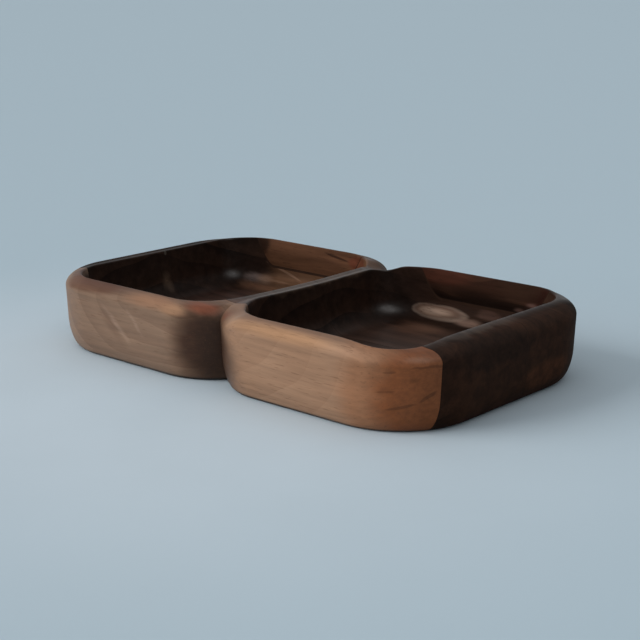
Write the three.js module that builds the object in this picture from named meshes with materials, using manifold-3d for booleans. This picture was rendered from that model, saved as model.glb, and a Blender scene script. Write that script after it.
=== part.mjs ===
// A two-bay serving dish carved from a walnut blank. The blank is glued up from boards that run
// along the dish: a pale stave at the front, two dark heartwood boards and a thin stave at the back.
// Millimetres, +Z up, origin at the middle of the underside, the two bays side by side along X.
import * as THREE from 'three';
import { mergeVertices } from 'three/addons/utils/BufferGeometryUtils.js';
import Module from 'manifold-3d';

// Whole dish
const dishLength = 250;
const dishWidth = 150;
const dishHeight = 38;
const waistOverlap = 18; // how far the outlines of the two bays run into each other

// Outer corners of a bay, seen from above
const waistRadius = 37;
const endRadius = 41;

// Outer wall, from the foot up
const footHeight = 17;
const footReachSide = 5.5;
const footReachEnd = 7.5;
const wallLean = 0.5;
const rimDrop = 6.8;
const rimReach = 10.8;

// Walls at the rim, and the corners of the mouths
const sideWall = 8.4;
const endWall = 14.5;
const dividerWall = 7.7;
const mouthWaistRadius = 29;
const mouthEndRadius = 23.5;

// Hollow below each mouth
const hollowDepth = 26;
const wallDraft = 2.6;
const coveHeight = 11;
const coveReach = 12;
const leastCoveRadius = 3;
const edgeRound = 1.5;

// Boards of the blank and the glue between them
const frontStaveWidth = 23;
const backStaveWidth = 11;
const glueThickness = 0.2;
const glueClearance = 0.05;

// Facets
const cornerDivisions = 5;
const roundSteps = 6;
const edgeSteps = 3;
const wallSteps = 2;
const sawMargin = 10; // how far cutting solids run past the dish

const bayLength = (dishLength + waistOverlap) / 2;
const bayCentre = (bayLength - waistOverlap) / 2;
const mouthStart = dividerWall / 2;
const mouthEnd = dishLength / 2 - endWall;
const quarterTurn = Math.PI / 2;

const wasm = await Module();
wasm.setup();

// Rounded outline with its free end towards +X. The insets move its ends and its sides inwards.
function roundedOutline(plan, insetEnd, insetSide) {
  const halfLength = plan.length / 2 - insetEnd;
  const halfWidth = plan.width / 2 - insetSide;
  const corner = (radius) => ({
    x: Math.max(radius - insetEnd, leastCoveRadius),
    y: Math.max(radius - insetSide, leastCoveRadius),
  });
  const end = corner(plan.endRadius);
  const waist = corner(plan.waistRadius);
  const shape = new THREE.Shape();
  const addCorner = (x, y, size, quarter) => {
    shape.absellipse(x, y, size.x, size.y, quarter * quarterTurn, (quarter + 1) * quarterTurn);
  };
  addCorner(halfLength - end.x, halfWidth - end.y, end, 0);
  addCorner(waist.x - halfLength, halfWidth - waist.y, waist, 1);
  addCorner(waist.x - halfLength, waist.y - halfWidth, waist, 2);
  addCorner(halfLength - end.x, end.y - halfWidth, end, 3);
  return shape.getPoints(cornerDivisions).map((point) => point.setX(point.x + plan.centre));
}

// Closed skin over a stack of outlines, lowest first.
function loft(rings) {
  const count = rings[0].points.length;
  const positions = rings.flatMap(({ points, z }) => points.flatMap((point) => [point.x, point.y, z]));
  const index = [];
  for (let level = 0; level < rings.length - 1; level += 1) {
    for (let i = 0; i < count; i += 1) {
      const a = level * count + i;
      const b = level * count + ((i + 1) % count);
      index.push(a, b, b + count, a, b + count, a + count);
    }
  }
  const topRing = (rings.length - 1) * count;
  for (const [i, j, k] of THREE.ShapeUtils.triangulateShape(rings[0].points, [])) {
    index.push(k, j, i);
  }
  for (const [i, j, k] of THREE.ShapeUtils.triangulateShape(rings.at(-1).points, [])) {
    index.push(topRing + i, topRing + j, topRing + k);
  }
  const geometry = new THREE.BufferGeometry();
  geometry.setAttribute('position', new THREE.Float32BufferAttribute(positions, 3));
  geometry.setIndex(index);
  return geometry;
}

function toSolid(geometry) {
  const bare = geometry.clone();
  bare.deleteAttribute('normal');
  bare.deleteAttribute('uv');
  const merged = mergeVertices(bare);
  const vertProperties = Float32Array.from(merged.attributes.position.array);
  const triVerts = Uint32Array.from(merged.index.array);
  return new wasm.Manifold(new wasm.Mesh({ numProp: 3, vertProperties, triVerts }));
}

function toGeometry(solid) {
  const { vertProperties, triVerts } = solid.getMesh();
  const geometry = new THREE.BufferGeometry();
  geometry.setAttribute('position', new THREE.Float32BufferAttribute(vertProperties, 3));
  geometry.setIndex(Array.from(triVerts));
  geometry.computeVertexNormals();
  return geometry;
}

// Shares of a quarter round: how far in and how far along its height, from 0 to 1.
function quarterRound(steps) {
  return Array.from({ length: steps + 1 }, (_, i) => {
    const angle = (i / steps) * quarterTurn;
    return { inward: 1 - Math.cos(angle), along: Math.sin(angle) };
  });
}

// Outside of the right-hand bay: rounded foot, nearly upright wall, broad rounded rim.
function bayOutside() {
  const plan = { length: bayLength, width: dishWidth, centre: bayCentre, waistRadius, endRadius };
  const rimStart = dishHeight - rimDrop;
  const foot = quarterRound(roundSteps).reverse().map(({ inward, along }) => ({
    points: roundedOutline(plan, wallLean + footReachEnd * inward, wallLean + footReachSide * inward),
    z: footHeight * (1 - along),
  }));
  const wall = Array.from({ length: wallSteps }, (_, i) => {
    const share = (i + 1) / wallSteps;
    const inset = wallLean * (1 - share);
    return { points: roundedOutline(plan, inset, inset), z: footHeight + share * (rimStart - footHeight) };
  });
  const rim = quarterRound(roundSteps).slice(1).map(({ inward, along }) => ({
    points: roundedOutline(plan, rimReach * inward, rimReach * inward),
    z: rimStart + rimDrop * along,
  }));
  return loft([...foot, ...wall, ...rim]);
}

// Hollow of the right-hand bay: flat floor, cove, drafted wall, softened edge at the mouth.
function bayHollow() {
  const plan = {
    length: mouthEnd - mouthStart,
    width: dishWidth - 2 * sideWall,
    centre: (mouthStart + mouthEnd) / 2,
    waistRadius: mouthWaistRadius,
    endRadius: mouthEndRadius,
  };
  const ring = (inset, z) => ({ points: roundedOutline(plan, inset, inset), z });
  const floor = dishHeight - hollowDepth;
  const cove = quarterRound(roundSteps).reverse().map(({ inward, along }) => (
    ring(wallDraft + coveReach * inward, floor + coveHeight * (1 - along))
  ));
  const edge = quarterRound(edgeSteps).map(({ inward, along }) => (
    ring(-edgeRound * inward, dishHeight - edgeRound + edgeRound * along)
  ));
  const above = ring(-edgeRound, dishHeight + sawMargin);
  return loft([...cove, ...edge, above]);
}

// The second bay is the first one turned half round.
function bothBays(geometry) {
  return toSolid(geometry).add(toSolid(geometry.clone().rotateZ(Math.PI)));
}

const dish = bothBays(bayOutside()).subtract(bothBays(bayHollow()));

// Slice of the dish between two planes across its width, and between two along its length.
function sawn(front, back, left = -dishLength, right = dishLength) {
  const saw = new THREE.BoxGeometry(right - left, back - front, dishHeight + 2 * sawMargin);
  saw.translate((left + right) / 2, (front + back) / 2, dishHeight / 2);
  return toGeometry(dish.intersect(toSolid(saw)));
}

const frontEdge = -dishWidth / 2;
const backEdge = dishWidth / 2;
const heartwoodWidth = (dishWidth - frontStaveWidth - backStaveWidth) / 2;
const frontSeam = frontEdge + frontStaveWidth;
const middleSeam = frontSeam + heartwoodWidth;
const backSeam = middleSeam + heartwoodWidth;
const board = glueThickness / 2 + glueClearance; // from the middle of a seam to the boards
const film = glueThickness / 2;

const paleWalnut = { color: 0x9a7355, roughness: 0.5, metalness: 0 };
const darkWalnut = { color: 0x38271f, roughness: 0.45, metalness: 0 };
const brownWalnut = { color: 0x6b4a38, roughness: 0.48, metalness: 0 };
const curedGlue = { color: 0x2b1c12, roughness: 0.6, metalness: 0 };

function piece(name, geometry, finish) {
  const mesh = new THREE.Mesh(geometry, new THREE.MeshStandardMaterial(finish));
  mesh.name = name;
  return mesh;
}

// The waist notch is deeper than the back stave is wide, so that stave and its glue are in halves.
const boards = new THREE.Group();
boards.add(
  piece('front_stave', sawn(frontEdge - sawMargin, frontSeam - board), paleWalnut),
  piece('front_heartwood_board', sawn(frontSeam + board, middleSeam - board), darkWalnut),
  piece('back_heartwood_board', sawn(middleSeam + board, backSeam - board), darkWalnut),
  piece('back_stave_left', sawn(backSeam + board, backEdge + sawMargin, -dishLength, 0), brownWalnut),
  piece('back_stave_right', sawn(backSeam + board, backEdge + sawMargin, 0, dishLength), brownWalnut),
);

const glueLines = new THREE.Group();
glueLines.add(
  piece('front_glue_line', sawn(frontSeam - film, frontSeam + film), curedGlue),
  piece('middle_glue_line', sawn(middleSeam - film, middleSeam + film), curedGlue),
  piece('back_glue_line_left', sawn(backSeam - film, backSeam + film, -dishLength, 0), curedGlue),
  piece('back_glue_line_right', sawn(backSeam - film, backSeam + film, 0, dishLength), curedGlue),
);

const servingDish = new THREE.Group();
servingDish.add(boards, glueLines);

export default servingDish;
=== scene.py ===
import math

import bmesh
import bpy
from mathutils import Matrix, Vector


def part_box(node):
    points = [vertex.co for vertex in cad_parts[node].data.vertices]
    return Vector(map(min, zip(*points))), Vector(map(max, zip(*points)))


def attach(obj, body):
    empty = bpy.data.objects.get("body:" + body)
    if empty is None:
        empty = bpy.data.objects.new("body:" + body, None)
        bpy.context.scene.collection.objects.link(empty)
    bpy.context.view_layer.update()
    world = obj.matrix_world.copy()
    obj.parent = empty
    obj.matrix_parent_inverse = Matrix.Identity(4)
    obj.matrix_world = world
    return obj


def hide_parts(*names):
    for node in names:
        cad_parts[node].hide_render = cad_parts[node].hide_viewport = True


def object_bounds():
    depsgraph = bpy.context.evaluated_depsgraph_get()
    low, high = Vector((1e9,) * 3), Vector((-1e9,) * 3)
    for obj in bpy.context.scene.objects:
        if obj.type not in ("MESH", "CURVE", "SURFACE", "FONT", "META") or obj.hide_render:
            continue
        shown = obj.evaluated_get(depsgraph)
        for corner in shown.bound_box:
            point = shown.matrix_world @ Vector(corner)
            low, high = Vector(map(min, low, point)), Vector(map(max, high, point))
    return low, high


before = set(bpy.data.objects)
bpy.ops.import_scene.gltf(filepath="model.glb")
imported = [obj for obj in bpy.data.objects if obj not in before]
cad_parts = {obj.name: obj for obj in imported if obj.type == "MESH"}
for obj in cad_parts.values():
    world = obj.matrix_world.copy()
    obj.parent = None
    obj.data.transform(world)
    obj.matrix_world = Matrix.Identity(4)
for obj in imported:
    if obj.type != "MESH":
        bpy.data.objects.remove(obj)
cadLow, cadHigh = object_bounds()
mm = 0.001
print("frame loaded:", len(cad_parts), "nodes")


# Camera at the photographed angle, solved from the rims and the foot of the dish
photoCamera = {
    "azimuth": 41.64,
    "elevation": 14.65,
    "distance": 690.1 * mm,
    "sideStep": 4.85 * mm,
    "rise": 1.53 * mm,
    "aimHeight": 17 * mm,
    "lens": 77.65,
    "sensor": 36,
    "clipStart": 10 * mm,
    "clipEnd": 100,  # in m, past the far edge of the floor
}

turn = math.radians(photoCamera["azimuth"])
tilt = math.radians(photoCamera["elevation"])
viewBack = Vector((math.sin(turn) * math.cos(tilt), -math.cos(turn) * math.cos(tilt), math.sin(tilt)))
viewRight = Vector((math.cos(turn), math.sin(turn), 0))
viewUp = viewBack.cross(viewRight)
viewFront = viewRight.cross(Vector((0, 0, 1)))  # level, from the dish towards the camera
viewPoint = viewBack * photoCamera["distance"] + viewRight * photoCamera["sideStep"]
viewPoint += viewUp * photoCamera["rise"] + Vector((0, 0, photoCamera["aimHeight"]))

bpy.ops.object.camera_add(location=viewPoint)
camera = bpy.context.object
camera.name = "photoCamera"
camera.rotation_euler = (-viewBack).to_track_quat("-Z", "Y").to_euler()
camera.data.lens = photoCamera["lens"]
camera.data.sensor_width = photoCamera["sensor"]
camera.data.clip_start = photoCamera["clipStart"]
camera.data.clip_end = photoCamera["clipEnd"]
bpy.context.scene.camera = camera
print("camera placed")


# Modelling helpers
def selectOnly(piece):
    bpy.ops.object.select_all(action="DESELECT")
    piece.select_set(True)
    bpy.context.view_layer.objects.active = piece


def pickVertices(piece, wanted):
    mesh = bmesh.from_edit_mesh(piece.data)
    for vertex in mesh.verts:
        vertex.select = wanted(vertex.co)
    mesh.select_flush_mode()
    bmesh.update_edit_mesh(piece.data)


def pickEdges(piece, wanted):
    bpy.ops.mesh.select_all(action="DESELECT")
    mesh = bmesh.from_edit_mesh(piece.data)
    for edge in mesh.edges:
        if wanted(edge.verts[0].co, edge.verts[1].co):
            edge.select_set(True)
    bmesh.update_edit_mesh(piece.data)


# Steps of a round from a wall inwards, each as a share of its reach and of its height
def roundMoves(steps, endAngle=math.pi / 2):
    angles = [endAngle * step / steps for step in range(steps + 1)]
    places = [(1 - math.cos(angle), math.sin(angle)) for angle in angles]
    return [(after[0] - before[0], after[1] - before[1]) for before, after in zip(places, places[1:])]


# The dish in one piece, before it is sawn back into its boards
dish = {
    "waistOverlap": 18 * mm,  # the two bays' outlines run into each other by this much
    "waistRadius": 37 * mm,
    "endRadius": 41 * mm,
    "footHeight": 17 * mm,
    "footReachSide": 5.5 * mm,
    "footReachEnd": 7.5 * mm,
    "wallLean": 0.5 * mm,
    "rimDrop": 6.8 * mm,
    "rimReach": 10.8 * mm,
    "roundedRim": 5 * mm,  # the round stops this far in, and the rim goes on nearly flat to the mouth
    "sideWall": 8.4 * mm,
    "endWall": 14.5 * mm,
    "dividerWall": 7.7 * mm,
    "mouthWaistRadius": 29 * mm,
    "mouthEndRadius": 23.5 * mm,
    "hollowDepth": 26 * mm,
    "wallDraft": 2.6 * mm,  # over the straight part of the wall
    "coveHeight": 11 * mm,
    "cove": 10.5 * mm,
    "edgeRound": 0.9 * mm,
    "edgeDip": 0.1 * mm,  # the mouth's edge lies this far below the highest point of the rim
    "cornerSegments": 28,
    "straightCuts": 14,
    "roundSteps": 12,
    "edgeSteps": 4,
    "rimCuts": 3,
}
dish["length"], dish["width"], dish["height"] = cadHigh - cadLow
tiny = 0.01 * mm  # points closer than this count as one place
cutMargin = 0.1 * tiny  # points this close to a cut count as on it


# Rounds the upright edges of a new block and divides its straight sides evenly.
def roundBlock(body, low, high, waistRadius, endRadius):
    for x, radius in ((low.x, waistRadius), (high.x, endRadius)):
        pickEdges(body, lambda a, b: abs(a.x - x) + abs(b.x - x) < tiny and abs(a.z - b.z) > tiny)
        bpy.ops.mesh.bevel(offset=radius, segments=dish["cornerSegments"], affect="EDGES")
    ends = (low.z, high.z)
    pickEdges(body, lambda a, b: (
        min(abs(a.z - z) + abs(b.z - z) for z in ends) < tiny
        and min(abs(a.x - b.x), abs(a.y - b.y)) < tiny
    ))
    bpy.ops.mesh.subdivide(number_cuts=dish["straightCuts"])


# Right half of the outside: a block with round corners, a rounded rim above and a rounded foot below.
def shapeOutside():
    bayLength = (dish["length"] + dish["waistOverlap"]) / 2
    rimStart = dish["height"] - dish["rimDrop"]
    low = Vector((-dish["waistOverlap"] / 2, -dish["width"] / 2, dish["footHeight"]))
    high = Vector((dish["length"] / 2, dish["width"] / 2, rimStart))
    middle = (low + high) / 2
    bpy.ops.object.select_all(action="DESELECT")
    bpy.ops.mesh.primitive_cube_add(size=1, location=middle, scale=high - low)
    bpy.ops.object.transform_apply(location=True, rotation=True, scale=True)
    body = bpy.context.object
    body.name = "dishBody"
    bpy.ops.object.mode_set(mode="EDIT")
    roundBlock(body, low, high, dish["waistRadius"], dish["endRadius"])

    pickVertices(body, lambda point: abs(point.z - rimStart) < tiny)
    rimAngle = math.acos(1 - dish["roundedRim"] / dish["rimReach"])
    for inward, along in roundMoves(dish["roundSteps"], rimAngle):
        bpy.ops.mesh.inset(thickness=dish["rimReach"] * inward, depth=dish["rimDrop"] * along)
    bpy.ops.mesh.delete(type="ONLY_FACE")

    pickVertices(body, lambda point: abs(point.z - dish["footHeight"]) < tiny)
    lean = (1 - 2 * dish["wallLean"] / bayLength, 1 - 2 * dish["wallLean"] / dish["width"], 1)
    bpy.ops.transform.resize(value=lean, center_override=middle)
    extra = dish["footReachEnd"] - dish["footReachSide"]
    for inward, along in roundMoves(dish["roundSteps"]):
        bpy.ops.mesh.inset(thickness=dish["footReachSide"] * inward, depth=dish["footHeight"] * along)
        squeeze = 1 - extra * inward / (dish["length"] / 2)
        bpy.ops.transform.resize(value=(squeeze, 1, 1), center_override=(0, 0, 0))
    return body


# Hollow of the same half, in the same mesh: flat floor, cove, leaning wall and a softened edge above.
def shapeHollow(body):
    floor = dish["height"] - dish["hollowDepth"]
    rim = dish["height"] - dish["edgeDip"]
    edgeStart = rim - dish["edgeRound"]
    low = Vector((dish["dividerWall"] / 2, dish["sideWall"] - dish["width"] / 2, floor))
    high = Vector((dish["length"] / 2 - dish["endWall"], dish["width"] / 2 - dish["sideWall"], edgeStart))
    middle, size = (low + high) / 2, high - low
    bpy.ops.mesh.primitive_cube_add(size=1, location=middle, scale=size)
    roundBlock(body, low, high, dish["mouthWaistRadius"], dish["mouthEndRadius"])

    straight = edgeStart - floor - dish["coveHeight"]
    lean = dish["wallDraft"] * size.z / straight
    pickVertices(body, lambda point: abs(point.z - floor) < tiny and low.x - tiny < point.x)
    narrowed = (1 - 2 * lean / size.x, 1 - 2 * lean / size.y, 1)
    bpy.ops.transform.resize(value=narrowed, center_override=middle)
    pickEdges(body, lambda a, b: abs(a.z - floor) + abs(b.z - floor) < tiny)
    bpy.ops.mesh.bevel(offset=dish["cove"], segments=dish["roundSteps"], affect="EDGES")

    pickVertices(body, lambda point: abs(point.z - edgeStart) < tiny)
    for inward, along in roundMoves(dish["edgeSteps"]):
        rise = (0, 0, dish["edgeRound"] * along)
        bpy.ops.mesh.extrude_region_move(TRANSFORM_OT_translate={"value": rise})
        opened = 2 * dish["edgeRound"] * inward
        widened = (1 + opened / size.x, 1 + opened / size.y, 1)
        bpy.ops.transform.resize(value=widened, center_override=middle)
    bpy.ops.mesh.delete(type="ONLY_FACE")


def makeDish():
    body = shapeOutside()
    shapeHollow(body)
    # the rim joins the two open edges
    bpy.ops.mesh.select_all(action="DESELECT")
    bpy.ops.mesh.select_mode(type="EDGE")
    bpy.ops.mesh.select_non_manifold(
        use_wire=False, use_multi_face=False, use_non_contiguous=False, use_verts=False,
    )
    bpy.ops.mesh.bridge_edge_loops(number_cuts=dish["rimCuts"], interpolation="LINEAR")
    bpy.ops.mesh.select_mode(type="VERT")
    bpy.ops.mesh.select_all(action="SELECT")
    bpy.ops.mesh.normals_make_consistent(inside=False)
    bpy.ops.object.mode_set(mode="OBJECT")
    selectOnly(body)
    twin = body.modifiers.new("secondBay", "MIRROR")
    twin.use_axis = (True, False, False)
    twin.use_bisect_axis = (True, False, False)
    twin.bisect_threshold = cutMargin
    twin.merge_threshold = tiny
    bpy.ops.object.modifier_apply(modifier=twin.name)
    return body


dishBody = makeDish()
print("dish carved:", len(dishBody.data.polygons), "faces")


# Hand work on the carved rims: low spots, each with its place, depth and reach
handWork = {
    "nearCorner": {"place": (104 * mm, -62 * mm, 37 * mm), "drop": 2.0 * mm, "reach": 26 * mm},
    "dividerTop": {"place": (0, 0, 38 * mm), "drop": 0.7 * mm, "reach": 48 * mm},
    "farCorner": {"place": (-14 * mm, -62 * mm, 37 * mm), "drop": 0.6 * mm, "reach": 22 * mm},
    "backNotch": {"place": (0, 56 * mm, 37.5 * mm), "drop": 2.4 * mm, "reach": 12 * mm},
    "frontNotch": {"place": (7 * mm, -67 * mm, 35 * mm), "drop": 2.2 * mm, "reach": 12 * mm},
}
spotCore = 3 * mm  # the points this close to a place go down by the full drop


def lowerRim(body, spot):
    place = Vector(spot["place"])
    bpy.ops.object.mode_set(mode="EDIT")
    pickVertices(body, lambda point: (point - place).length < spotCore)
    bpy.ops.transform.translate(
        value=(0, 0, -spot["drop"]),
        use_proportional_edit=True,
        proportional_edit_falloff="SMOOTH",
        proportional_size=spot["reach"],
    )
    bpy.ops.object.mode_set(mode="OBJECT")


selectOnly(dishBody)
for spot in handWork.values():
    lowerRim(dishBody, spot)
print("rim worked by hand")


# Boards and glue lines: the dish sawn along its seams, as the blank was glued up
boards = {
    "front_stave": {"slot": "pale_walnut"},
    "front_heartwood_board": {"slot": "dark_walnut"},
    "back_heartwood_board": {"slot": "dark_walnut"},
    "back_stave_left": {"slot": "brown_walnut"},
    "back_stave_right": {"slot": "brown_walnut"},
    "front_glue_line": {"slot": "cured_glue"},
    "middle_glue_line": {"slot": "cured_glue"},
    "back_glue_line_left": {"slot": "cured_glue"},
    "back_glue_line_right": {"slot": "cured_glue"},
}
sideSlack = 1 * mm  # a piece that passes x = 0 by less than this belongs to one side
smoothAngle = math.radians(40)


def sawPiece(node):
    low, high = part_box(node)
    selectOnly(dishBody)
    bpy.ops.object.duplicate()
    piece = bpy.context.object
    piece.name = node + ".carved"
    bpy.ops.object.mode_set(mode="EDIT")
    # each cut has its axis, its place and whether the upper side stays
    cuts = [(1, low.y, True), (1, high.y, False)]
    if high.x < sideSlack:
        cuts.append((0, 0.0, False))
    if low.x > -sideSlack:
        cuts.append((0, 0.0, True))
    for axis, place, keepAbove in cuts:
        point, normal = Vector(), Vector()
        point[axis], normal[axis] = place, 1
        bpy.ops.mesh.select_all(action="SELECT")
        bpy.ops.mesh.bisect(
            plane_co=point, plane_no=normal, threshold=cutMargin, use_fill=True,
            clear_inner=keepAbove, clear_outer=not keepAbove,
        )
    bpy.ops.mesh.select_all(action="SELECT")
    bpy.ops.mesh.normals_make_consistent(inside=False)
    bpy.ops.object.mode_set(mode="OBJECT")
    bpy.ops.object.shade_smooth_by_angle(angle=smoothAngle)
    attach(piece, "root")
    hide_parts(node)
    return piece


pieces = {node: sawPiece(node) for node, look in boards.items()}
bpy.data.objects.remove(dishBody)
print("boards sawn:", {node: len(piece.data.polygons) for node, piece in pieces.items()})


# Material helpers. Colors are sRGB hex values, turned to linear here.
def linear(hexText):
    channels = [int(hexText[i:i + 2], 16) / 255 for i in (0, 2, 4)]
    return (*(c / 12.92 if c <= 0.04045 else ((c + 0.055) / 1.055) ** 2.4 for c in channels), 1)


def addNode(tree, kind, settings=None, inputs=None):
    node = tree.nodes.new(kind)
    for name, value in (settings or {}).items():
        setattr(node, name, value)
    for socket, value in (inputs or {}).items():
        if isinstance(value, bpy.types.NodeSocket):
            tree.links.new(value, node.inputs[socket])
        else:
            node.inputs[socket].default_value = value
    return node


def newMaterial(name):
    material = bpy.data.materials.new(name)
    material.use_nodes = True
    tree = material.node_tree
    tree.nodes.clear()
    shader = addNode(tree, "ShaderNodeBsdfPrincipled")
    addNode(tree, "ShaderNodeOutputMaterial", None, {"Surface": shader.outputs["BSDF"]})
    return material, tree, shader


# The Mix node's sockets go by number, because it has a set of them for each kind of value.
mixShare, numberA, numberB, colorA, colorB = 0, 2, 3, 6, 7
mixedColor = 2
colorMix = {"data_type": "RGBA"}
colorTint = {"data_type": "RGBA", "blend_type": "MULTIPLY"}

# Walnut, carved, sanded fine and oiled: growth rings in broad soft figure, streaks, fine fibres and short
# open pores along the boards, a satin sheen that varies with the fibres, and matt end grain.
# What all the boards share, with sizes in mm. Real fibres are about 0.03 mm wide and real pores about
# 0.2 mm, and both are drawn as coarse as they need to show.
grain = {
    "swaySize": 85, "swayReach": 30, "combReach": 8,
    "ringBend": 1.5, "ringBendScale": 0.5, "ringFadeReach": 20,
    "fibreLength": 40, "fibreWidth": 1.8, "fibreRange": (0.3, 0.7), "fibreTone": (0.85, 1.13),
    "poreLength": 7, "poreWidth": 0.6, "poreRange": (0.62, 0.74), "poreShare": 0.4,
    "streakLength": 80, "streakWidth": 6, "streakRange": (0.35, 0.65),
    "patchSize": 55, "patchRange": (0.4, 0.65),
    "frayReach": (12, 6, 6), "frayScale": 0.25, "markSoft": 0.55,
    "endStart": 111, "endFull": 117,  # along X from the middle
    "reliefStrength": 0.2, "reliefHeight": 0.1, "ior": 1.45,
}
waveStep = 2 * math.pi / 20  # scale at which the Wave node draws one ring per unit of length

# Each wood has its ring spacing and pith in mm and its lean in degrees, and ringFade is what stays of the
# rings in the right half. A mark is one cloud of another tone, and each lies over those before it. Some
# marks are the wood's own tones, and some are painted shade, highlight or sheen. A mark's place and reach
# are in mm, its turn about the Y axis in degrees, soft is the share of the reach where it starts to fade,
# and fray frays its edge.
paleWalnut = {
    "early": "a6856c", "late": "83624d", "pore": "634532", "patch": "98755c", "patchShare": 0.6,
    "ringAxis": "Y", "ringSpacing": 9, "ringStretch": 2.05, "ringFade": 0.3,
    "pith": (-20, -75, 38), "lean": (0, 0, 0), "streaks": (0.94, 1.05),
    "roughness": (0.4, 0.55), "endRoughness": 0.7, "gloss": 0.3,
    "marks": {
        "farBay": {"place": (-75, -72, 14), "reach": (84, 50, 70), "color": "7a6657", "share": 0.66},
        # rim and farRim: darker rim tops, partly the wood's own tone and partly painted shade where the
        # light reaches the tops less
        "rim": {"place": (0, -60, 43), "reach": (280, 40, 10), "color": "5f4438", "share": 0.55},
        "farRim": {"place": (-75, -60, 43), "reach": (86, 40, 9), "color": "56392f", "share": 0.55},
        "farRimDark": {"place": (-86, -71, 37), "reach": (32, 12, 5), "color": "5c3628", "share": 0.55},
        # painted highlight along the outer round of the far bay's front rim, in a warm tone
        "farRimHighlight": {
            "place": (-36, -72, 35), "reach": (28, 8, 4.2),
            "color": "ae7f60", "share": 0.55, "soft": 0.2,
        },
        "figureShade": {
            "place": (-64, -74.6, 19), "reach": (17, 8, 4.5), "turn": 41,
            "color": "644a3c", "share": 0.4, "soft": 0.1, "fray": 0.5,
        },
        "figureLine": {
            "place": (-59.6, -74.6, 20.1), "reach": (18, 8, 2.3), "turn": 41,
            "color": "ac9280", "share": 0.32, "soft": 0.05, "fray": 0.5,
        },
        "innerFigureLine": {
            "place": (-46.5, -74.7, 23.7), "reach": (11, 8, 1.9), "turn": 49,
            "color": "ac9280", "share": 0.3, "soft": 0.05, "fray": 0.5,
        },
        # painted highlight along the outer round of the near bay's front rim
        "nearRimHighlight": {
            "place": (48, -73.5, 35), "reach": (48, 6, 4.5),
            "color": "c4956c", "share": 0.5, "soft": 0.2, "fray": 0.3,
        },
        "warmStart": {
            "place": (126, -62, 18), "reach": (48, 60, 90),
            "color": "99694a", "share": 0.7, "soft": 0.7,
        },
        "warmCorner": {
            "place": (132, -60, 14), "reach": (38, 50, 60),
            "color": "8a502d", "share": 0.85, "soft": 0.7,
        },
        "cornerRim": {"place": (116, -60, 41), "reach": (32, 30, 10), "color": "6f4229", "share": 0.7},
        "lowGrainLine": {
            "place": (109, -65, 12.7), "reach": (8, 9, 0.8), "turn": -14,
            "color": "432818", "share": 0.45, "fray": 0.2,
        },
        "risingGrainLine": {
            "place": (117.3, -57, 17), "reach": (5, 7, 0.8), "turn": -46,
            "color": "432818", "share": 0.45, "fray": 0.2,
        },
        "midGrainLine": {
            "place": (104, -69, 19.2), "reach": (4.5, 5, 0.7), "turn": -6,
            "color": "4a2a1a", "share": 0.4, "fray": 0.2,
        },
        "upperGrainLine": {
            "place": (105.5, -68.5, 27.8), "reach": (3.5, 4, 0.7), "turn": -6,
            "color": "4a2a1a", "share": 0.4, "fray": 0.2,
        },
        "highGrainLine": {
            "place": (119, -56, 30), "reach": (12, 12, 0.8), "turn": -5,
            "color": "4a2a1a", "share": 0.4, "fray": 0.6,
        },
        "waistShade": {
            "place": (-8, -66, 19), "reach": (19, 22, 27),
            "color": "40291e", "share": 0.93, "soft": 0.35,
        },
        "creaseShade": {
            "place": (2, -64, 15), "reach": (17, 16, 28),
            "color": "402c21", "share": 0.88, "soft": 0.42, "fray": 0.2,
        },
        "nearWaistShade": {
            "place": (8, -69, 14), "reach": (24, 12, 24),
            "color": "402c21", "share": 0.8, "soft": 0.3, "fray": 0.2,
        },
        # painted highlight on the far bay's front rim next to the waist
        "waistRimHighlight": {
            "place": (-21, -73, 33.7), "reach": (11, 6, 3.6),
            "color": "ba8e6c", "share": 0.6, "soft": 0.2, "fray": 0.3,
        },
        "redRim": {
            "place": (-9, -64.5, 35.3), "reach": (16, 8, 4),
            "color": "8c4f38", "share": 0.8, "soft": 0.3, "fray": 0.3,
        },
        "redCrease": {
            "place": (4, -64, 35.3), "reach": (7.5, 6, 5),
            "color": "704132", "share": 0.7, "soft": 0.15, "fray": 0.2,
        },
        # painted highlight on the rim round at the near front corner
        "cornerHighlight": {
            "place": (88, -72.5, 34), "reach": (22, 6, 4.5),
            "color": "b8947a", "share": 0.35, "soft": 0.1,
        },
        # painted sheen line along the rim round at the near front corner
        "cornerSheenLine": {
            "place": (114, -59, 32.8), "reach": (10, 10, 1.6),
            "color": "96705a", "share": 0.45, "soft": 0.1, "fray": 0.1,
        },
        "cornerKnot": {
            "place": (113.7, -61.8, 24), "reach": (5, 5, 2.4),
            "color": "5f3b22", "share": 0.4, "soft": 0.1,
        },
        "farMouthCorner": {
            "place": (-104, -53, 29), "reach": (9, 9, 9),
            "color": "2a1c15", "share": 0.9, "fray": 0.3,
        },
        "nearMouthCorner": {
            "place": (9, -54, 29), "reach": (9, 9, 9),
            "color": "2a1c15", "share": 0.9, "fray": 0.3,
        },
        # painted contact shadow: the lowest 2 mm of the front stave's foot and its underside made nearly
        # black
        "foot": {
            "place": (0, -75, -3), "reach": (300, 60, 5.2),
            "color": "1a110d", "share": 0.95, "soft": 0.75, "fray": 0.1,
        },
    },
}
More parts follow.
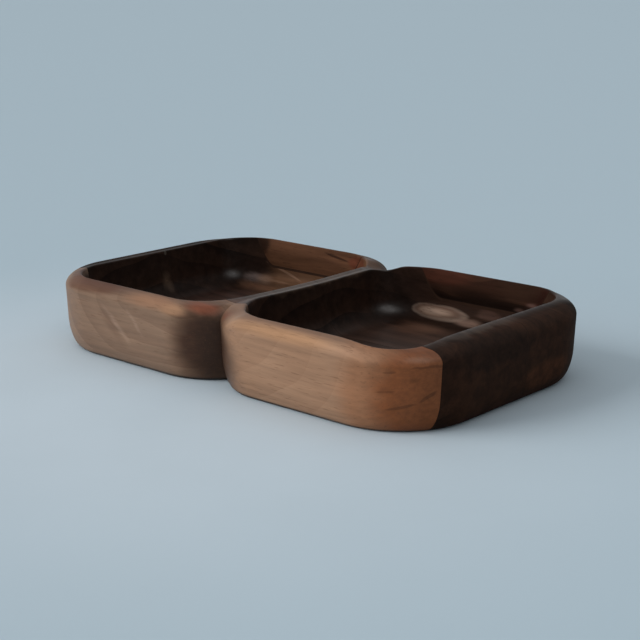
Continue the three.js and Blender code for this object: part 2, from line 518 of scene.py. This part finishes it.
darkWalnut = {
    "early": "34231a", "late": "1d120d", "pore": "120a07", "patch": "2c1c15", "patchShare": 0.7,
    "ringAxis": "X", "ringSpacing": 12, "ringStretch": 1, "ringFade": 1,
    "pith": (0, 10, -90), "lean": (0, 3, 5), "streaks": (0.76, 1.22),
    "roughness": (0.28, 0.4), "endRoughness": 0.85, "gloss": 0.14,
    "marks": {
        "endGrain": {"place": (126, 10, 17), "reach": (18, 90, 44), "color": "3e2517", "share": 0.75},
        "endDark": {"place": (125, -18, 30), "reach": (12, 36, 9), "color": "160d09", "share": 0.45},
        "endBrown": {"place": (125, 22, 11), "reach": (12, 24, 8), "color": "5a3622", "share": 0.5},
        # painted sheen along the inner edge of the right end's rim
        "endRimSheen": {
            "place": (114, -16, 38), "reach": (6, 38, 3),
            "color": "6a5a50", "share": 0.35, "soft": 0.3,
        },
        "farFloor": {"place": (-60, 20, 11), "reach": (52, 50, 9), "color": "523c34", "share": 0.75},
        "nearFloor": {"place": (46, 10, 11), "reach": (50, 46, 9), "color": "4a362d", "share": 0.8},
        "nearFloorBack": {
            "place": (34, 42, 11), "reach": (20, 14, 6),
            "color": "684a3b", "share": 0.7, "soft": 0.3,
        },
        "farBackBrown": {
            "place": (-43, 62, 20), "reach": (50, 45, 60),
            "color": "5e422f", "share": 0.92, "soft": 0.7, "fray": 0.8,
        },
        "farFloorBack": {
            "place": (-90, 52, 12.5), "reach": (17, 10, 5),
            "color": "6c4c3a", "share": 0.75, "soft": 0.3,
        },
        "farCoveSheen": {
            "place": (-95.5, 56.8, 16.5), "reach": (9, 6, 3.5),
            "color": "7a6862", "share": 0.75, "soft": 0.2, "fray": 0.5,
        },
        # painted sheen in the far bay's back cove
        "farCoveSheenPatch": {
            "place": (-89, 59, 15.5), "reach": (9, 6, 4),
            "color": "8a6c5a", "share": 0.7, "soft": 0.1, "fray": 0.6,
        },
        "farStreak": {
            "place": (-77, 62.9, 21.4), "reach": (17, 8, 0.8), "turn": 14,
            "color": "8a6a56", "share": 0.6, "fray": 0.12,
        },
        "farLowStreak": {
            "place": (-80, 60, 15.7), "reach": (11, 3, 0.7),
            "color": "7a5c48", "share": 0.5, "fray": 0.12,
        },
        "farRedCorner": {
            "place": (-21, 63, 33.5), "reach": (10, 6, 5),
            "color": "52261a", "share": 0.6, "fray": 0.4,
        },
        "farEndPatch": {
            "place": (-107, 1.8, 20.5), "reach": (6, 4.5, 8.5),
            "color": "6a5444", "share": 0.7, "soft": 0.1, "fray": 0.8,
        },
        "rimNick": {
            "place": (-110.5, 3.5, 36.8), "reach": (4, 1, 1.5),
            "color": "70685e", "share": 0.5, "fray": 0.2,
        },
        "dividerFront": {
            "place": (0, -50, 38), "reach": (9, 9, 5),
            "color": "6e5044", "share": 0.55, "soft": 0.2,
        },
        # lighter divider top, partly the wood's tone and partly painted sheen
        "dividerTop": {"place": (0, 5, 38), "reach": (6, 60, 4), "color": "5e4a3c", "share": 0.45},
        "coveCloud": {"place": (63, 62.8, 19.5), "reach": (9, 5, 3), "color": "4a342b", "share": 0.6},
        "ovalTail": {
            "place": (54, 59, 14.6), "reach": (12, 4, 2.8),
            "color": "84695b", "share": 0.7, "soft": 0.3, "fray": 0.4,
        },
        "ovalEdge": {
            "place": (35.5, 59.5, 17.5), "reach": (19, 5.2, 5.2),
            "color": "9a8272", "share": 0.45, "soft": 0.8, "fray": 0.8,
        },
        "oval": {
            "place": (34, 59.9, 17.9), "reach": (17, 4.4, 4.4),
            "color": "593f32", "share": 0.85, "soft": 0.6, "fray": 0.8,
        },
        "ovalCore": {
            "place": (33.5, 60.2, 17.3), "reach": (14, 3.2, 3.2),
            "color": "bc9f8a", "share": 0.75, "soft": 0.2, "fray": 0.5,
        },
    },
}
brownWalnut = {
    "early": "3c271c", "late": "271810", "pore": "180e09", "patch": "331d14", "patchShare": 0.6,
    "ringAxis": "X", "ringSpacing": 10, "ringStretch": 1, "ringFade": 1,
    "pith": (0, 50, -70), "lean": (0, 3, 6), "streaks": (0.76, 1.22),
    "roughness": (0.34, 0.48), "endRoughness": 0.85, "gloss": 0.16,
    "marks": {
        "farWall": {"place": (-50, 68, 28), "reach": (72, 16, 30), "color": "5a3c2a", "share": 0.78},
        "farCornerDark": {
            "place": (-97.5, 66, 35), "reach": (8.5, 6, 9),
            "color": "24160f", "share": 0.85, "soft": 0.6, "fray": 0.3,
        },
        "farDarkLine": {
            "place": (-39.5, 66, 34.2), "reach": (11, 6, 0.8), "turn": 8,
            "color": "1c0f0a", "share": 0.7, "fray": 0.1,
        },
        "farRedCorner": {
            "place": (-24, 64, 33.5), "reach": (10, 6, 5),
            "color": "52261a", "share": 0.6, "fray": 0.4,
        },
        "nearBand": {"place": (30, 67, 36), "reach": (26, 8, 7), "color": "45251a", "share": 0.7},
        "nearSeamDark": {
            "place": (26, 64, 24), "reach": (16, 5, 8),
            "color": "140b08", "share": 0.7, "soft": 0.4, "fray": 0.3,
        },
        "nearWallDark": {
            "place": (60, 57, 14), "reach": (76, 14, 23),
            "color": "160d09", "share": 0.97, "soft": 0.8,
        },
        "nearCornerDark": {
            "place": (106, 60, 32), "reach": (34, 9, 18),
            "color": "26120d", "share": 0.92,
        },
        "nearCoveSpot": {
            "place": (81, 64.5, 25), "reach": (4.5, 4, 1.6),
            "color": "5e463e", "share": 0.45, "soft": 0.2, "fray": 0.8,
        },
        "nearEndSpot": {
            "place": (88.5, 65, 28), "reach": (5, 4, 1.6),
            "color": "664c45", "share": 0.45, "soft": 0.2, "fray": 0.8,
        },
    },
}


def oiledWalnut(name, wood):
    material, tree, shader = newMaterial(name)
    place = addNode(tree, "ShaderNodeTexCoord").outputs["Object"]

    # growth rings about the pith, bent by slow waves in the trunk
    sway = addNode(tree, "ShaderNodeTexNoise", None, {
        "Vector": place, "Scale": 1 / (grain["swaySize"] * mm), "Detail": 2,
    })
    swayed = addNode(tree, "ShaderNodeVectorMath", {"operation": "MULTIPLY_ADD"}, {
        0: sway.outputs["Color"], 1: [grain["swayReach"] * mm] * 3, 2: place,
    })
    swayMiddle = grain["swayReach"] / 2  # the sway moves points by half its reach
    pith = addNode(tree, "ShaderNodeMapping", {"vector_type": "TEXTURE"}, {
        "Vector": swayed.outputs[0],
        "Location": [(x + swayMiddle) * mm for x in wood["pith"]],
        "Rotation": [math.radians(x) for x in wood["lean"]],
        "Scale": (wood["ringStretch"], 1, 1),
    })
    ringLook = {"wave_type": "RINGS", "rings_direction": wood["ringAxis"], "wave_profile": "SAW"}
    rings = addNode(tree, "ShaderNodeTexWave", ringLook, {
        "Vector": pith.outputs[0],
        "Scale": waveStep / (wood["ringSpacing"] * mm),
        "Distortion": grain["ringBend"], "Detail": 2, "Detail Scale": grain["ringBendScale"],
    })
    along = addNode(tree, "ShaderNodeSeparateXYZ", None, {0: place})
    ringShare = addNode(tree, "ShaderNodeMapRange", None, {
        "Value": along.outputs["X"],
        "From Min": -grain["ringFadeReach"] * mm, "From Max": grain["ringFadeReach"] * mm,
        "To Min": 1.0, "To Max": wood["ringFade"],
    })
    ringTone = addNode(tree, "ShaderNodeMath", {"operation": "MULTIPLY"}, {
        0: rings.outputs["Fac"], 1: ringShare.outputs[0],
    })

    # fibres that follow the sway a little, and pores
    combed = addNode(tree, "ShaderNodeVectorMath", {"operation": "MULTIPLY_ADD"}, {
        0: sway.outputs["Color"], 1: [grain["combReach"] * mm] * 3, 2: place,
    })
    fibreWide = 1 / (grain["fibreWidth"] * mm)
    fibreGrid = addNode(tree, "ShaderNodeMapping", None, {
        "Vector": combed.outputs[0], "Scale": (1 / (grain["fibreLength"] * mm), fibreWide, fibreWide),
    })
    fibres = addNode(tree, "ShaderNodeTexNoise", None, {
        "Vector": fibreGrid.outputs[0], "Scale": 1, "Detail": 5,
    })
    poreWide = 1 / (grain["poreWidth"] * mm)
    poreGrid = addNode(tree, "ShaderNodeMapping", None, {
        "Vector": place, "Scale": (1 / (grain["poreLength"] * mm), poreWide, poreWide),
    })
    poreField = addNode(tree, "ShaderNodeTexNoise", None, {
        "Vector": poreGrid.outputs[0], "Scale": 1, "Detail": 1,
    })
    pores = addNode(tree, "ShaderNodeMapRange", None, {
        "Value": poreField.outputs[0],
        "From Min": grain["poreRange"][0], "From Max": grain["poreRange"][1],
    })

    # ring color, then slow patches of another tone
    color = addNode(tree, "ShaderNodeMix", colorMix, {
        mixShare: ringTone.outputs[0], colorA: linear(wood["early"]), colorB: linear(wood["late"]),
    })
    patches = addNode(tree, "ShaderNodeTexNoise", None, {
        "Vector": place, "Scale": 1 / (grain["patchSize"] * mm), "Detail": 3,
    })
    patchShare = addNode(tree, "ShaderNodeMapRange", None, {
        "Value": patches.outputs[0],
        "From Min": grain["patchRange"][0], "From Max": grain["patchRange"][1],
        "To Max": wood["patchShare"],
    })
    color = addNode(tree, "ShaderNodeMix", colorMix, {
        mixShare: patchShare.outputs[0], colorA: color.outputs[mixedColor], colorB: linear(wood["patch"]),
    })

    # the marks, with edges frayed along the grain
    fray = addNode(tree, "ShaderNodeTexNoise", None, {
        "Vector": fibreGrid.outputs[0], "Scale": grain["frayScale"], "Detail": 3,
    })
    for mark in wood["marks"].values():
        reach = Vector(grain["frayReach"]) * mm * mark.get("fray", 1)
        frayed = addNode(tree, "ShaderNodeVectorMath", {"operation": "MULTIPLY_ADD"}, {
            0: fray.outputs["Color"], 1: reach, 2: place,
        })
        spot = addNode(tree, "ShaderNodeMapping", {"vector_type": "TEXTURE"}, {
            "Vector": frayed.outputs[0],
            "Location": Vector(mark["place"]) * mm + reach / 2,  # the fray moves points by half its reach
            "Rotation": (0, math.radians(mark.get("turn", 0)), 0),
            "Scale": Vector(mark["reach"]) * mm,
        })
        away = addNode(tree, "ShaderNodeVectorMath", {"operation": "LENGTH"}, {0: spot.outputs[0]})
        share = addNode(tree, "ShaderNodeMapRange", {"interpolation_type": "SMOOTHSTEP"}, {
            "Value": away.outputs["Value"],
            "From Min": 1.0, "From Max": mark.get("soft", grain["markSoft"]), "To Max": mark["share"],
        })
        color = addNode(tree, "ShaderNodeMix", colorMix, {
            mixShare: share.outputs[0], colorA: color.outputs[mixedColor], colorB: linear(mark["color"]),
        })

    # streaks, then fibres and pores on top
    streakWide = 1 / (grain["streakWidth"] * mm)
    streakGrid = addNode(tree, "ShaderNodeMapping", None, {
        "Vector": combed.outputs[0], "Scale": (1 / (grain["streakLength"] * mm), streakWide, streakWide),
    })
    streaks = addNode(tree, "ShaderNodeTexNoise", None, {
        "Vector": streakGrid.outputs[0], "Scale": 1, "Detail": 3,
    })
    streakTone = addNode(tree, "ShaderNodeMapRange", None, {
        "Value": streaks.outputs[0],
        "From Min": grain["streakRange"][0], "From Max": grain["streakRange"][1],
        "To Min": wood["streaks"][0], "To Max": wood["streaks"][1],
    })
    color = addNode(tree, "ShaderNodeMix", colorTint, {
        mixShare: 1.0, colorA: color.outputs[mixedColor], colorB: streakTone.outputs[0],
    })
    fibreTone = addNode(tree, "ShaderNodeMapRange", None, {
        "Value": fibres.outputs[0],
        "From Min": grain["fibreRange"][0], "From Max": grain["fibreRange"][1],
        "To Min": grain["fibreTone"][0], "To Max": grain["fibreTone"][1],
    })
    color = addNode(tree, "ShaderNodeMix", colorTint, {
        mixShare: 1.0, colorA: color.outputs[mixedColor], colorB: fibreTone.outputs[0],
    })
    poreShare = addNode(tree, "ShaderNodeMath", {"operation": "MULTIPLY"}, {
        0: pores.outputs[0], 1: grain["poreShare"],
    })
    color = addNode(tree, "ShaderNodeMix", colorMix, {
        mixShare: poreShare.outputs[0], colorA: color.outputs[mixedColor], colorB: linear(wood["pore"]),
    })
    tree.links.new(color.outputs[mixedColor], shader.inputs["Base Color"])

    sheen = addNode(tree, "ShaderNodeMapRange", None, {
        "Value": fibres.outputs[0],
        "From Min": grain["fibreRange"][0], "From Max": grain["fibreRange"][1],
        "To Min": wood["roughness"][0], "To Max": wood["roughness"][1],
    })
    # end grain drinks the oil and stays matt
    endwise = addNode(tree, "ShaderNodeMath", {"operation": "ABSOLUTE"}, {0: along.outputs["X"]})
    endShare = addNode(tree, "ShaderNodeMapRange", None, {
        "Value": endwise.outputs[0], "From Min": grain["endStart"] * mm, "From Max": grain["endFull"] * mm,
    })
    roughness = addNode(tree, "ShaderNodeMix", None, {
        mixShare: endShare.outputs[0], numberA: sheen.outputs[0], numberB: wood["endRoughness"],
    })
    tree.links.new(roughness.outputs[0], shader.inputs["Roughness"])
    relief = addNode(tree, "ShaderNodeMath", {"operation": "SUBTRACT"}, {
        0: fibres.outputs[0], 1: pores.outputs[0],
    })
    bump = addNode(tree, "ShaderNodeBump", None, {
        "Height": relief.outputs[0],
        "Strength": grain["reliefStrength"], "Distance": grain["reliefHeight"] * mm,
    })
    tree.links.new(bump.outputs[0], shader.inputs["Normal"])
    shader.inputs["IOR"].default_value = grain["ior"]
    shader.inputs["Specular IOR Level"].default_value = wood["gloss"]
    return material


# Cured wood glue, squeezed thin and sanded flush: dark brown, matt, a little cloudy
glue = {
    "dark": "271a13", "light": "35241b", "cloudSize": 6 * mm,
    "roughness": 0.8, "ior": 1.47, "gloss": 0.14,
}


def curedGlue():
    material, tree, shader = newMaterial("curedGlueSandedFlush")
    place = addNode(tree, "ShaderNodeTexCoord").outputs["Object"]
    cloud = addNode(tree, "ShaderNodeTexNoise", None, {
        "Vector": place, "Scale": 1 / glue["cloudSize"], "Detail": 3,
    })
    tone = addNode(tree, "ShaderNodeMix", colorMix, {
        mixShare: cloud.outputs[0], colorA: linear(glue["dark"]), colorB: linear(glue["light"]),
    })
    tree.links.new(tone.outputs[mixedColor], shader.inputs["Base Color"])
    shader.inputs["Roughness"].default_value = glue["roughness"]
    shader.inputs["IOR"].default_value = glue["ior"]
    shader.inputs["Specular IOR Level"].default_value = glue["gloss"]
    return material


finishes = {
    "pale_walnut": oiledWalnut("oiledPaleWalnut", paleWalnut),
    "dark_walnut": oiledWalnut("oiledDarkWalnut", darkWalnut),
    "brown_walnut": oiledWalnut("oiledBrownWalnut", brownWalnut),
    "cured_glue": curedGlue(),
}
for node, look in boards.items():
    pieces[node].data.materials.clear()
    pieces[node].data.materials.append(finishes[look["slot"]])
print("finishes made")


# Floor: matt painted board, pale bluish grey with faint brushed clouds, and painted falloff of the light:
# lighter about a spot near the dish and a little darker far away.
# Sizes and places are in m, places to the right of the view and to its front.
stage = {
    "size": 60, "near": "d4e2ec", "far": "bccfda", "cloud": "c6d4dd", "cloudSize": 120 * mm,
    "brightSpot": (-0.05, 0.05), "farStart": 0.08, "farEnd": 0.32,
    "bounce": "8d9192", "roughness": 0.9, "gloss": 0.2,
}


def makeFloor():
    bpy.ops.object.select_all(action="DESELECT")
    bpy.ops.mesh.primitive_plane_add(size=stage["size"])
    floor = bpy.context.object
    floor.name = "studioFloor"
    material, tree, shader = newMaterial("mattPaintedBoard")
    place = addNode(tree, "ShaderNodeTexCoord").outputs["Object"]
    cloud = addNode(tree, "ShaderNodeTexNoise", None, {
        "Vector": place, "Scale": 1 / stage["cloudSize"], "Detail": 4,
    })
    tone = addNode(tree, "ShaderNodeMix", colorMix, {
        mixShare: cloud.outputs[0], colorA: linear(stage["near"]), colorB: linear(stage["cloud"]),
    })
    side, front = stage["brightSpot"]
    offset = addNode(tree, "ShaderNodeVectorMath", {"operation": "DISTANCE"}, {
        0: place, 1: viewRight * side + viewFront * front,
    })
    farShare = addNode(tree, "ShaderNodeMapRange", {"interpolation_type": "SMOOTHSTEP"}, {
        "Value": offset.outputs["Value"], "From Min": stage["farStart"], "From Max": stage["farEnd"],
    })
    tone = addNode(tree, "ShaderNodeMix", colorMix, {
        mixShare: farShare.outputs[0], colorA: tone.outputs[mixedColor], colorB: linear(stage["far"]),
    })
    # the pale color is for the eye and for reflections, and the floor throws a dimmer one on the dish
    ray = addNode(tree, "ShaderNodeLightPath")
    seen = addNode(tree, "ShaderNodeMath", {"operation": "ADD"}, {
        0: ray.outputs["Is Camera Ray"], 1: ray.outputs["Is Glossy Ray"],
    })
    seen = addNode(tree, "ShaderNodeMath", {"operation": "ADD", "use_clamp": True}, {
        0: seen.outputs[0], 1: ray.outputs["Is Transmission Ray"],
    })
    tone = addNode(tree, "ShaderNodeMix", colorMix, {
        mixShare: seen.outputs[0], colorA: linear(stage["bounce"]), colorB: tone.outputs[mixedColor],
    })
    tree.links.new(tone.outputs[mixedColor], shader.inputs["Base Color"])
    shader.inputs["Roughness"].default_value = stage["roughness"]
    shader.inputs["Specular IOR Level"].default_value = stage["gloss"]
    floor.data.materials.append(material)


makeFloor()


# Light: a broad polarised key from the left of the view that leaves no sheen, a softbox high on the right
# that shows only as sheen in the coves, and a room with a wide soft window on the left. Places go to the
# right of the view, to its front and up, in m.
keyLight = {"side": -1.0, "front": 0.15, "height": 0.37, "softness": 44, "strength": 2.2}
sheenLight = {"side": 0.5, "front": 0.22, "height": 0.72, "width": 0.25, "length": 0.45, "power": 3.9}
room = {
    "color": "f2f5f7",
    "dim": 0.26, "window": 0.65, "windowPlace": (-0.5, 0.2, 0.85), "windowStart": -0.3, "windowEnd": 0.9,
    # the oil mirrors a dim room with a pale wall behind the dish
    "mirrorDim": 0.05, "wall": 0.6, "wallPlace": (0, -1, 0.2), "wallStart": 0.5, "wallEnd": 0.95,
}


def towards(side, front, up):
    return viewRight * side + viewFront * front + Vector((0, 0, up))


keyPlace = towards(keyLight["side"], keyLight["front"], keyLight["height"])
bpy.ops.object.light_add(type="SUN", location=keyPlace)
key = bpy.context.object
key.name = "keyLight"
key.rotation_euler = (-keyPlace).to_track_quat("-Z", "Y").to_euler()
key.data.angle = math.radians(keyLight["softness"])
key.data.energy = keyLight["strength"]
key.visible_glossy = False

sheenPlace = towards(sheenLight["side"], sheenLight["front"], sheenLight["height"])
bpy.ops.object.light_add(type="AREA", location=sheenPlace)
sheen = bpy.context.object
sheen.name = "sheenLight"
sheen.rotation_euler = (-sheenPlace).to_track_quat("-Z", "Y").to_euler()
sheen.data.shape = "RECTANGLE"
sheen.data.size = sheenLight["width"]
sheen.data.size_y = sheenLight["length"]
sheen.data.energy = sheenLight["power"]
sheen.visible_diffuse = False

world = bpy.data.worlds.new("studioRoom")
bpy.context.scene.world = world
world.use_nodes = True
backdrop = world.node_tree.nodes["Background"]
backdrop.inputs["Color"].default_value = linear(room["color"])
direction = addNode(world.node_tree, "ShaderNodeTexCoord").outputs["Generated"]


def roomGlow(place, start, end, low, high):
    facing = addNode(world.node_tree, "ShaderNodeVectorMath", {"operation": "DOT_PRODUCT"}, {
        0: direction, 1: towards(*place).normalized(),
    })
    return addNode(world.node_tree, "ShaderNodeMapRange", {"interpolation_type": "SMOOTHSTEP"}, {
        "Value": facing.outputs["Value"],
        "From Min": start, "From Max": end, "To Min": low, "To Max": high,
    })


windowGlow = roomGlow(
    room["windowPlace"], room["windowStart"], room["windowEnd"], room["dim"], room["window"],
)
wallGlow = roomGlow(room["wallPlace"], room["wallStart"], room["wallEnd"], room["mirrorDim"], room["wall"])
glow = addNode(world.node_tree, "ShaderNodeMix", None, {
    mixShare: addNode(world.node_tree, "ShaderNodeLightPath").outputs["Is Glossy Ray"],
    numberA: windowGlow.outputs[0], numberB: wallGlow.outputs[0],
})
world.node_tree.links.new(glow.outputs[0], backdrop.inputs["Strength"])
bpy.context.scene.view_settings.view_transform = "Standard"
print("stage lit")
